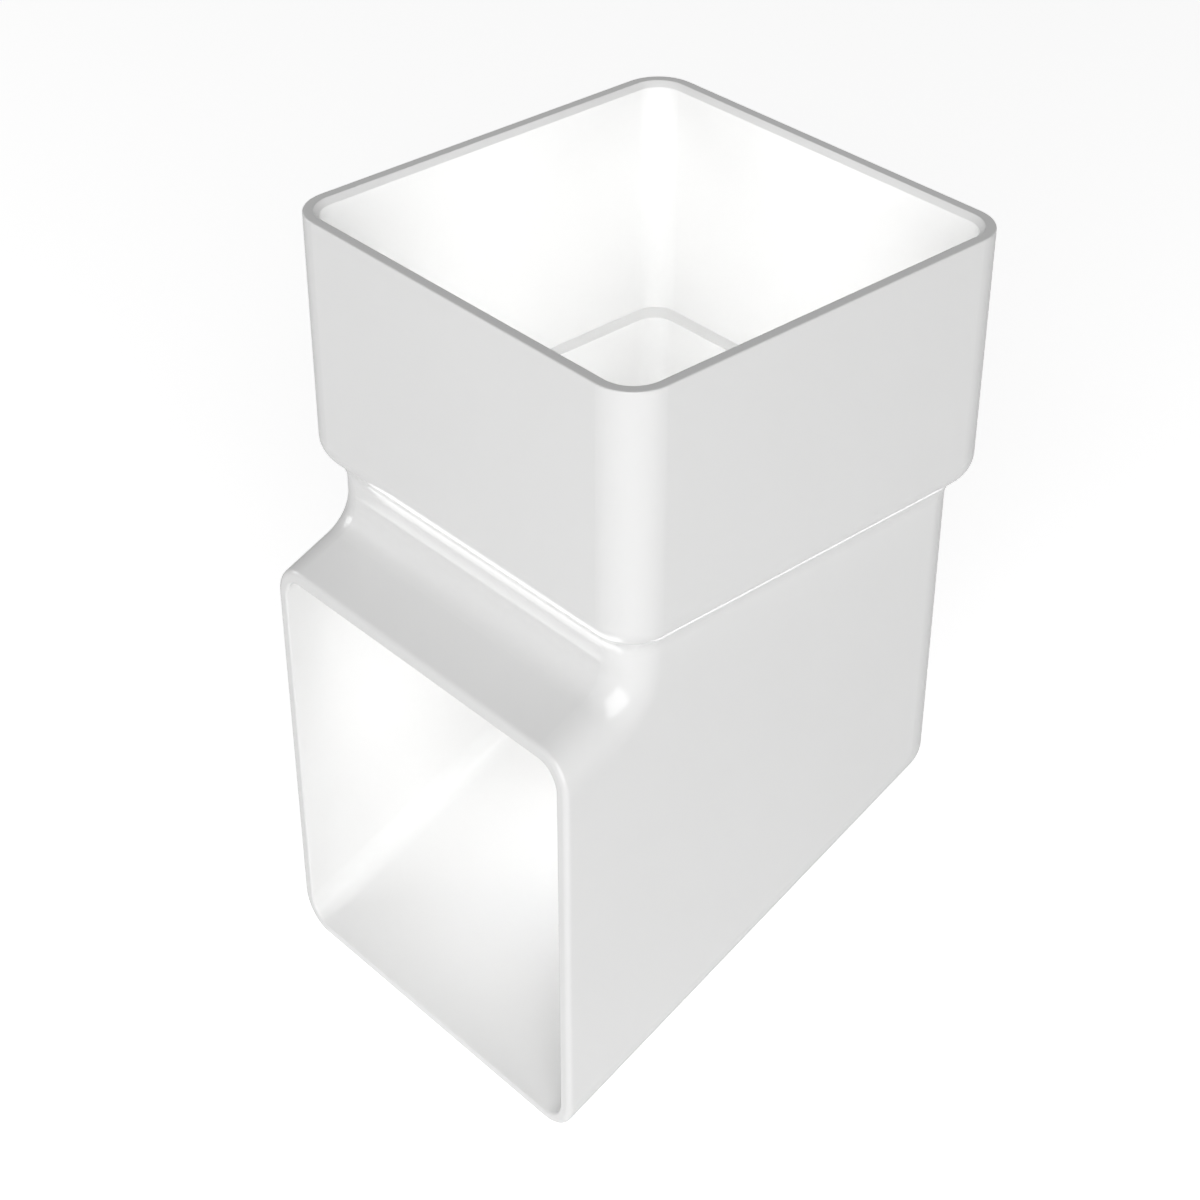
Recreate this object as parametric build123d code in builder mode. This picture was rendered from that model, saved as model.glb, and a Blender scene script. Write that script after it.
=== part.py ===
from build123d import *
import os
from math import cos, radians, tan

# Downpipe shoe for a square rainwater pipe, moulded in one piece.
# The origin is on the pipe's axis, in the plane of the pipe stop.
# The pipe comes in from above, along +Z, and the mouth throws the water out towards -Y.

# Driving sizes, in millimetres and degrees
pipe_size = 65.0
pipe_clearance = 0.2
socket_wall = 2.3
socket_depth = 38.0
socket_corner = 6.25
stop_width = 2.5
body_wall = 2.0
body_corner = 5.65
shoulder_top = 0.7
shoulder_drop = 2.8
shoulder_softness = 1.5
bend_drop = 10.1
throat_round = 5.3
heel_extra = 0.2
outlet_slope = 22.5
outlet_depth = 64.8
mouth_reach = 43.2
lead_in = 0.8
rim_edge = 0.2
mouth_edge = 0.8
mouth_inner_edge = 0.3
cut_overrun = 1.0

# Sizes that follow from them
bore_size = pipe_size + 2 * pipe_clearance
socket_size = bore_size + 2 * socket_wall
body_size = bore_size - 2 * stop_width + 2 * body_wall
shoulder_base = shoulder_top - shoulder_drop
shoulder_round = shoulder_softness * shoulder_drop
heel_round = body_corner + heel_extra
fall = tan(radians(outlet_slope))
slant = 1 / cos(radians(outlet_slope))


def bent_form(inset, overrun):
    """The square body and its sloping outlet in one solid, every wall moved in by inset.

    It runs past the pipe stop and the mouth by overrun.
    """
    half = body_size / 2 - inset
    # The front wall meets the outlet's roof at the throat, and the back wall meets the sole at the heel
    throat_z = -bend_drop + inset * (fall - slant)
    mouth_y = -mouth_reach - overrun
    roof_z = throat_z + (mouth_y + half) * fall
    sole_z = roof_z - (outlet_depth - 2 * inset) * slant
    heel_z = sole_z + (half - mouth_y) * fall
    with BuildPart() as form:
        with BuildSketch(Plane.YZ) as side:
            with BuildLine():
                Polyline(
                    (-half, overrun),
                    (-half, throat_z),
                    (mouth_y, roof_z),
                    (mouth_y, sole_z),
                    (half, heel_z),
                    (half, overrun),
                    close=True,
                )
            make_face()
            throat = side.vertices().sort_by_distance((-half, throat_z))[0]
            fillet(throat, throat_round + inset)
            heel = side.vertices().sort_by_distance((half, heel_z))[0]
            fillet(heel, heel_round - inset)
        extrude(amount=half, both=True)
        flanks = form.faces().filter_by(Axis.X).edges()
        ends = form.faces().sort_by(Axis.Z)[-1].edges() + form.faces().sort_by(Axis.Y)[0].edges()
        fillet(flanks - ends, body_corner - inset)
    return form


outside = bent_form(0, 0)
inside = bent_form(body_wall, cut_overrun)

with BuildPart() as shoe:
    add(outside)
    # Socket, with a shoulder that tapers in to the body round the pipe stop
    with BuildSketch(Plane.XY.offset(shoulder_top)):
        RectangleRounded(socket_size, socket_size, socket_corner)
    extrude(amount=socket_depth - shoulder_top)
    with BuildSketch(Plane.XY.offset(shoulder_top)):
        RectangleRounded(socket_size, socket_size, socket_corner)
    with BuildSketch(Plane.XY.offset(shoulder_base)):
        RectangleRounded(body_size, body_size, body_corner)
    loft(ruled=True)
    brow = shoe.edges().filter_by_position(Axis.Z, shoulder_top, shoulder_top)
    neck = shoe.edges().filter_by_position(Axis.Z, shoulder_base, shoulder_base)
    fillet(brow + neck, shoulder_round)
    # Outer edges of the mouth and of the rim
    fillet(shoe.faces().sort_by(Axis.Y)[0].edges(), mouth_edge)
    fillet(shoe.faces().sort_by(Axis.Z)[-1].edges(), rim_edge)
    # Waterway, and the wider bore whose floor is the pipe stop
    add(inside, mode=Mode.SUBTRACT)
    with BuildSketch():
        RectangleRounded(bore_size, bore_size, socket_corner - socket_wall)
    extrude(amount=socket_depth, mode=Mode.SUBTRACT)
    # Lead-in for the pipe, and the softened inner edge of the mouth
    chamfer(shoe.faces().sort_by(Axis.Z)[-1].inner_wires()[0].edges(), lead_in)
    fillet(shoe.faces().sort_by(Axis.Y)[0].inner_wires()[0].edges(), mouth_inner_edge)

shoe.part.label = "shoe"
os.makedirs("parts", exist_ok=True)
export_step(shoe.part, "parts/shoe.step")
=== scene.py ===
import math

import bpy
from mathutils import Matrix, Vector


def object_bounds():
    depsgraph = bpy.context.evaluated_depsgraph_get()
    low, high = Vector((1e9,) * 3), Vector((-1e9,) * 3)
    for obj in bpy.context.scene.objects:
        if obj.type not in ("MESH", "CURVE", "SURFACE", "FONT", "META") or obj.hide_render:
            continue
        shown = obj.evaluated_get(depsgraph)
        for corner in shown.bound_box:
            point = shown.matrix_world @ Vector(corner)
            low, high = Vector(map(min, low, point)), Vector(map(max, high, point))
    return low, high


# Everything is in metres, in the part's own frame: the pipe's axis is Z and the mouth faces -Y.
# An azimuth goes round the part from -Y towards +X, in degrees.

# Camera
CAMERA_PLACE = (0.224582, -0.208515, 0.190248)
CAMERA_AZIMUTH = 48.320
CAMERA_TILT = 35.130
CAMERA_SENSOR = 36.0
CAMERA_LENS = 75.170
CAMERA_NEAR = 0.01

# White uPVC, semi-gloss from a polished mould
PLASTIC_LIGHTER = (0.865, 0.865, 0.862)
PLASTIC_DARKER = (0.845, 0.845, 0.841)
PLASTIC_ROUGHNESS = (0.17, 0.23)
PLASTIC_IOR = 1.53
CLOUD_SCALE = 45.0
CLOUD_DETAIL = 2.0
RIPPLE_SCALE = 160.0
RIPPLE_DETAIL = 1.0
RIPPLE_HEIGHT = 0.00002
RIPPLE_STRENGTH = 0.3
EDGE_BLEND = 0.0002
EDGE_SAMPLES = 4

# Floor: its glow as a lamp, its glow as the camera sees it, and how far a mirrored ray sees the latter
FLOOR_COLOUR = (0.8, 0.8, 0.8)
FLOOR_HALF_SIZE = 0.85
FLOOR_GLOW = 0.26
FLOOR_SEEN_GLOW = 0.73
FLOOR_MIRRORED = 0.25

# Sky: its strength as a lamp, and as it is seen
SKY_LEVEL = 0.11
SKY_SEEN_COLOUR = (1.0, 1.0, 1.0)
SKY_SEEN_LEVEL = 1.0
SKY_MIRRORED = 1.0

# Soft boxes far from the part: azimuth, elevation, size and share of white
FAR_LAMPS = {
    "key": (46, 22, 1.0, 0.82),
    "left": (-60, 14, 0.4, 0.14),
    "back": (150, 14, 0.4, 0.07),
}
FAR_DISTANCE = 1.2

# Small lamps that lift the walls of the hollow: place, target, spread in degrees and milliwatts
HOLLOW_LAMPS = {
    "socket": ((0.020, -0.020, 0.022), (-0.030, 0.030, 0.010), 180, 14.8),
    "bend": ((0.018, -0.018, 0.012), (-0.020, 0.024, -0.040), 180, 5.8),
    "sole": ((0.012, 0.012, 0.004), (0.000, -0.012, -0.070), 40, 1.6),
    "mouth": ((-0.008, -0.0307, -0.045), (-0.0182, -0.0135, -0.049), 180, 0.9),
}
HOLLOW_LAMP_SIZE = (0.020, 0.020)

# Cards that only show as a reflection, under the shoulder: place, facing, size and radiance
CARDS = {
    "throat_card": ((0.002, -0.0355, -0.0094), (0.0, -0.695, 0.72), (0.058, 0.008), 2.0),
    "side_card": ((0.03255, 0.0, -0.0031), (0.986, 0.0, -0.164), (0.056, 0.0024), 1.3),
}


def direction(azimuth, elevation):
    """Unit vector from the part towards that azimuth and elevation, in degrees."""
    a = math.radians(azimuth)
    e = math.radians(elevation)
    return Vector((math.sin(a) * math.cos(e), -math.cos(a) * math.cos(e), math.sin(e)))


def put(thing, place, facing):
    """Add an object to the scene at place, with its -Z axis along facing."""
    thing.location = place
    thing.rotation_mode = "QUATERNION"
    thing.rotation_quaternion = facing.to_track_quat("-Z", "Y")
    bpy.context.scene.collection.objects.link(thing)


def new_material(name):
    material = bpy.data.materials.new(name)
    material.use_nodes = True
    material.node_tree.nodes.clear()
    return material, material.node_tree.nodes, material.node_tree.links


def noise(nodes, links, place, scale, detail):
    """Smooth noise over the part's own coordinates, from 0 to 1."""
    texture = nodes.new("ShaderNodeTexNoise")
    texture.inputs["Scale"].default_value = scale
    texture.inputs["Detail"].default_value = detail
    links.new(place.outputs["Object"], texture.inputs["Vector"])
    return texture.outputs["Fac"]


def white_plastic():
    """White uPVC with faint clouds in its colour and gloss, and a faint ripple.

    The bevel node blends the small kinks where two faces of the part's mesh meet.
    """
    material, nodes, links = new_material("white_upvc")
    place = nodes.new("ShaderNodeTexCoord")
    clouds = noise(nodes, links, place, CLOUD_SCALE, CLOUD_DETAIL)
    ripple = noise(nodes, links, place, RIPPLE_SCALE, RIPPLE_DETAIL)
    colour = nodes.new("ShaderNodeMix")
    colour.data_type = "RGBA"
    colour.inputs["A"].default_value = (*PLASTIC_DARKER, 1.0)
    colour.inputs["B"].default_value = (*PLASTIC_LIGHTER, 1.0)
    gloss = nodes.new("ShaderNodeMapRange")
    gloss.inputs["To Min"].default_value = PLASTIC_ROUGHNESS[0]
    gloss.inputs["To Max"].default_value = PLASTIC_ROUGHNESS[1]
    edge = nodes.new("ShaderNodeBevel")
    edge.samples = EDGE_SAMPLES
    edge.inputs["Radius"].default_value = EDGE_BLEND
    bump = nodes.new("ShaderNodeBump")
    bump.inputs["Strength"].default_value = RIPPLE_STRENGTH
    bump.inputs["Distance"].default_value = RIPPLE_HEIGHT
    surface = nodes.new("ShaderNodeBsdfPrincipled")
    surface.inputs["IOR"].default_value = PLASTIC_IOR
    output = nodes.new("ShaderNodeOutputMaterial")
    links.new(clouds, colour.inputs["Factor"])
    links.new(clouds, gloss.inputs["Value"])
    links.new(ripple, bump.inputs["Height"])
    links.new(edge.outputs["Normal"], bump.inputs["Normal"])
    links.new(colour.outputs["Result"], surface.inputs["Base Color"])
    links.new(gloss.outputs["Result"], surface.inputs["Roughness"])
    links.new(bump.outputs["Normal"], surface.inputs["Normal"])
    links.new(surface.outputs["BSDF"], output.inputs["Surface"])
    return material


def seen_rays(nodes, links, mirrored_share):
    """1 for a ray from the camera or through clear matter, and mirrored_share for a mirrored ray.

    It is 0 for the rays that only light things.
    """
    path = nodes.new("ShaderNodeLightPath")
    mirrored = nodes.new("ShaderNodeMath")
    mirrored.operation = "MULTIPLY"
    mirrored.inputs[1].default_value = mirrored_share
    first = nodes.new("ShaderNodeMath")
    first.operation = "MAXIMUM"
    both = nodes.new("ShaderNodeMath")
    both.operation = "MAXIMUM"
    links.new(path.outputs["Is Glossy Ray"], mirrored.inputs[0])
    links.new(path.outputs["Is Camera Ray"], first.inputs[0])
    links.new(mirrored.outputs["Value"], first.inputs[1])
    links.new(first.outputs["Value"], both.inputs[0])
    links.new(path.outputs["Is Transmission Ray"], both.inputs[1])
    return both.outputs["Value"]


def floor_material():
    """A pale floor that glows softly, and is seen brighter, so that it is white where no shadow falls."""
    material, nodes, links = new_material("floor")
    pale = nodes.new("ShaderNodeBsdfDiffuse")
    pale.inputs["Color"].default_value = (*FLOOR_COLOUR, 1.0)
    lighting = nodes.new("ShaderNodeEmission")
    lighting.inputs["Strength"].default_value = FLOOR_GLOW
    seen = nodes.new("ShaderNodeEmission")
    seen.inputs["Strength"].default_value = FLOOR_SEEN_GLOW
    glow = nodes.new("ShaderNodeMixShader")
    total = nodes.new("ShaderNodeAddShader")
    output = nodes.new("ShaderNodeOutputMaterial")
    links.new(seen_rays(nodes, links, FLOOR_MIRRORED), glow.inputs["Fac"])
    links.new(lighting.outputs["Emission"], glow.inputs[1])
    links.new(seen.outputs["Emission"], glow.inputs[2])
    links.new(pale.outputs["BSDF"], total.inputs[0])
    links.new(glow.outputs["Shader"], total.inputs[1])
    links.new(total.outputs["Shader"], output.inputs["Surface"])
    return material


def make_floor(height):
    s = FLOOR_HALF_SIZE
    corners = [(-s, -s, height), (s, -s, height), (s, s, height), (-s, s, height)]
    mesh = bpy.data.meshes.new("floor")
    mesh.from_pydata(corners, [], [(0, 1, 2, 3)])
    floor = bpy.data.objects.new("floor", mesh)
    bpy.context.scene.collection.objects.link(floor)
    floor.data.materials.append(floor_material())


def make_world():
    """A faint sky that is seen as white."""
    world = bpy.data.worlds.new("studio")
    world.use_nodes = True
    nodes = world.node_tree.nodes
    links = world.node_tree.links
    nodes.clear()
    lighting = nodes.new("ShaderNodeBackground")
    lighting.inputs["Strength"].default_value = SKY_LEVEL
    seen = nodes.new("ShaderNodeBackground")
    seen.inputs["Color"].default_value = (*SKY_SEEN_COLOUR, 1.0)
    seen.inputs["Strength"].default_value = SKY_SEEN_LEVEL
    both = nodes.new("ShaderNodeMixShader")
    output = nodes.new("ShaderNodeOutputWorld")
    links.new(seen_rays(nodes, links, SKY_MIRRORED), both.inputs["Fac"])
    links.new(lighting.outputs["Background"], both.inputs[1])
    links.new(seen.outputs["Background"], both.inputs[2])
    links.new(both.outputs["Shader"], output.inputs["Surface"])
    bpy.context.scene.world = world


def soft_box(name, place, target, size, watts):
    """An oblong lamp that shines from place to target. The camera doesn't see it."""
    data = bpy.data.lights.new(name, "AREA")
    data.shape = "RECTANGLE"
    data.size, data.size_y = size
    data.energy = watts
    lamp = bpy.data.objects.new(name, data)
    lamp.visible_camera = False
    put(lamp, place, Vector(target) - Vector(place))
    return lamp


def make_lamps(centre):
    for name, (azimuth, elevation, size, share) in FAR_LAMPS.items():
        place = centre + FAR_DISTANCE * direction(azimuth, elevation)
        soft_box(name, place, centre, (size, size), share * (math.pi * FAR_DISTANCE) ** 2)
    for name, (place, target, spread, milliwatts) in HOLLOW_LAMPS.items():
        lamp = soft_box(name, place, target, HOLLOW_LAMP_SIZE, milliwatts / 1000)
        lamp.data.spread = math.radians(spread)
        lamp.visible_glossy = False
    for name, (place, facing, size, radiance) in CARDS.items():
        target = Vector(place) + Vector(facing)
        card = soft_box(name, place, target, size, radiance * math.pi * size[0] * size[1])
        card.visible_diffuse = False


def make_camera():
    data = bpy.data.cameras.new("camera")
    data.sensor_width = CAMERA_SENSOR
    data.lens = CAMERA_LENS
    data.clip_start = CAMERA_NEAR
    camera = bpy.data.objects.new("camera", data)
    put(camera, CAMERA_PLACE, -direction(CAMERA_AZIMUTH, CAMERA_TILT))
    bpy.context.scene.camera = camera
    bpy.context.scene.view_settings.view_transform = "Standard"


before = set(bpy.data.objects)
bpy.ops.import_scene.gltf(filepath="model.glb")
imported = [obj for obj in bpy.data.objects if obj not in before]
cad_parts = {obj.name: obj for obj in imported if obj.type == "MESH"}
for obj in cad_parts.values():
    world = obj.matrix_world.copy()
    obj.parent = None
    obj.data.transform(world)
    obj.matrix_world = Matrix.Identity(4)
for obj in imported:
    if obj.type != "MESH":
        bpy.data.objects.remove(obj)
cad_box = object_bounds()

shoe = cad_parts["shoe"]
shoe.data.materials.clear()
shoe.data.materials.append(white_plastic())

make_floor(cad_box[0].z)
make_world()
make_lamps((cad_box[0] + cad_box[1]) / 2)
make_camera()
